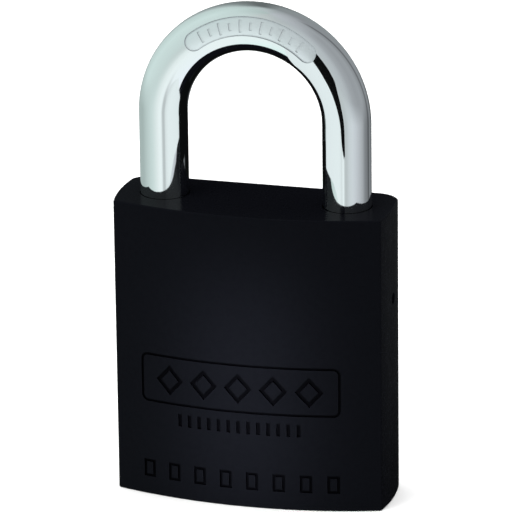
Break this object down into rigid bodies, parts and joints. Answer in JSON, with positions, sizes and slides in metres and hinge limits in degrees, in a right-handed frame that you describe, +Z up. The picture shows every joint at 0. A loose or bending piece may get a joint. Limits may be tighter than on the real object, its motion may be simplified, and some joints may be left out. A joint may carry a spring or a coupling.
{
  "type": "disc padlock",
  "caption": "Compact padlock with a curved black block body and a round polished hardened shackle, ball locked by a keyed cylinder reached from below.",
  "frame": {"origin": "middle of the flat underside, with the lock standing upright", "axes": "+Z up along the shackle's travel, -Y the curved front face, +X towards the side with the small pin hole"},
  "size_m": [0.0452, 0.0168, 0.0823],
  "materials": {
    "body_black": "near-black satin coating on solid light alloy, rather glossy on the flat top",
    "shackle_chrome": "bright polished plating over hardened steel, with one fine matte panel on the bend",
    "brass": "fine turned and milled brass",
    "plug_brass": "fine turned brass with a broached keyway",
    "pin_brass": "bright turned brass",
    "hard_steel": "plain hardened steel, lightly oiled",
    "ball_steel": "polished bearing steel",
    "spring_steel": "drawn spring wire"
  },
  "bodies": {
    "lock": {"lock_body": "body_black", "shackle_retaining_pin": "hard_steel", "shackle_spring": "spring_steel", "cylinder_housing": "brass", "chamber_cover": "brass", "cylinder_screw": "hard_steel", "cam_return_spring": "spring_steel", "pin_spring_1": "spring_steel", "pin_spring_2": "spring_steel", "pin_spring_3": "spring_steel", "pin_spring_4": "spring_steel", "pin_spring_5": "spring_steel"},
    "shackle": {"shackle": "shackle_chrome"},
    "plug": {"plug": "plug_brass", "plug_drill_pins": "hard_steel", "plug_clip": "spring_steel"},
    "control_cam": {"control_cam": "hard_steel"},
    "ball_left": {"ball_left": "ball_steel"},
    "ball_right": {"ball_right": "ball_steel"},
    "driver_pin_1": {"driver_pin_1": "pin_brass"},
    "driver_pin_2": {"driver_pin_2": "pin_brass"},
    "driver_pin_3": {"driver_pin_3": "pin_brass"},
    "driver_pin_4": {"driver_pin_4": "pin_brass"},
    "driver_pin_5": {"driver_pin_5": "pin_brass"},
    "key_pin_1": {"key_pin_1": "pin_brass"},
    "key_pin_2": {"key_pin_2": "pin_brass"},
    "key_pin_3": {"key_pin_3": "pin_brass"},
    "key_pin_4": {"key_pin_4": "pin_brass"},
    "key_pin_5": {"key_pin_5": "pin_brass"}
  },
  "joints": [
    {"name": "shackle_lift", "type": "slide", "parent": "lock", "child": "shackle", "axis": [0, 0, 1], "range_m": [0, 0.015], "deforming": ["shackle_spring"]},
    {"name": "plug_turn", "type": "hinge", "parent": "lock", "child": "plug", "pos_m": [0, 0.00105, 0.015], "axis": [0, 0, 1], "range_deg": [0, 90]},
    {"name": "cam_turn", "type": "hinge", "parent": "lock", "child": "control_cam", "pos_m": [0, 0.00105, 0.041], "axis": [0, 0, 1], "range_deg": [-90, 0], "deforming": ["cam_return_spring"]},
    {"name": "ball_left_slide", "type": "slide", "parent": "lock", "child": "ball_left", "axis": [-1, 0, 0], "range_m": [0, 0.00224]},
    {"name": "ball_right_slide", "type": "slide", "parent": "lock", "child": "ball_right", "axis": [1, 0, 0], "range_m": [0, 0.00224]},
    {"name": "driver_pin_1_slide", "type": "slide", "parent": "lock", "child": "driver_pin_1", "axis": [-1, 0, 0], "range_m": [-0.00105, 0], "deforming": ["pin_spring_1"]},
    {"name": "driver_pin_2_slide", "type": "slide", "parent": "lock", "child": "driver_pin_2", "axis": [-1, 0, 0], "range_m": [-0.00185, 0], "deforming": ["pin_spring_2"]},
    {"name": "driver_pin_3_slide", "type": "slide", "parent": "lock", "child": "driver_pin_3", "axis": [-1, 0, 0], "range_m": [-0.00065, 0], "deforming": ["pin_spring_3"]},
    {"name": "driver_pin_4_slide", "type": "slide", "parent": "lock", "child": "driver_pin_4", "axis": [-1, 0, 0], "range_m": [-0.00145, 0], "deforming": ["pin_spring_4"]},
    {"name": "driver_pin_5_slide", "type": "slide", "parent": "lock", "child": "driver_pin_5", "axis": [-1, 0, 0], "range_m": [-0.00225, 0], "deforming": ["pin_spring_5"]},
    {"name": "key_pin_1_slide", "type": "slide", "parent": "plug", "child": "key_pin_1", "axis": [-1, 0, 0], "range_m": [-0.00105, 0]},
    {"name": "key_pin_2_slide", "type": "slide", "parent": "plug", "child": "key_pin_2", "axis": [-1, 0, 0], "range_m": [-0.00185, 0]},
    {"name": "key_pin_3_slide", "type": "slide", "parent": "plug", "child": "key_pin_3", "axis": [-1, 0, 0], "range_m": [-0.00065, 0]},
    {"name": "key_pin_4_slide", "type": "slide", "parent": "plug", "child": "key_pin_4", "axis": [-1, 0, 0], "range_m": [-0.00145, 0]},
    {"name": "key_pin_5_slide", "type": "slide", "parent": "plug", "child": "key_pin_5", "axis": [-1, 0, 0], "range_m": [-0.00225, 0]}
  ],
  "couplings": [
    {"joint": "ball_left_slide", "follows": "cam_turn", "m_per_rad": -0.001426},
    {"joint": "ball_right_slide", "follows": "cam_turn", "m_per_rad": -0.001426},
    {"joint": "key_pin_1_slide", "follows": "driver_pin_1_slide", "ratio": 1},
    {"joint": "key_pin_2_slide", "follows": "driver_pin_2_slide", "ratio": 1},
    {"joint": "key_pin_3_slide", "follows": "driver_pin_3_slide", "ratio": 1},
    {"joint": "key_pin_4_slide", "follows": "driver_pin_4_slide", "ratio": 1},
    {"joint": "key_pin_5_slide", "follows": "driver_pin_5_slide", "ratio": 1}
  ]
}
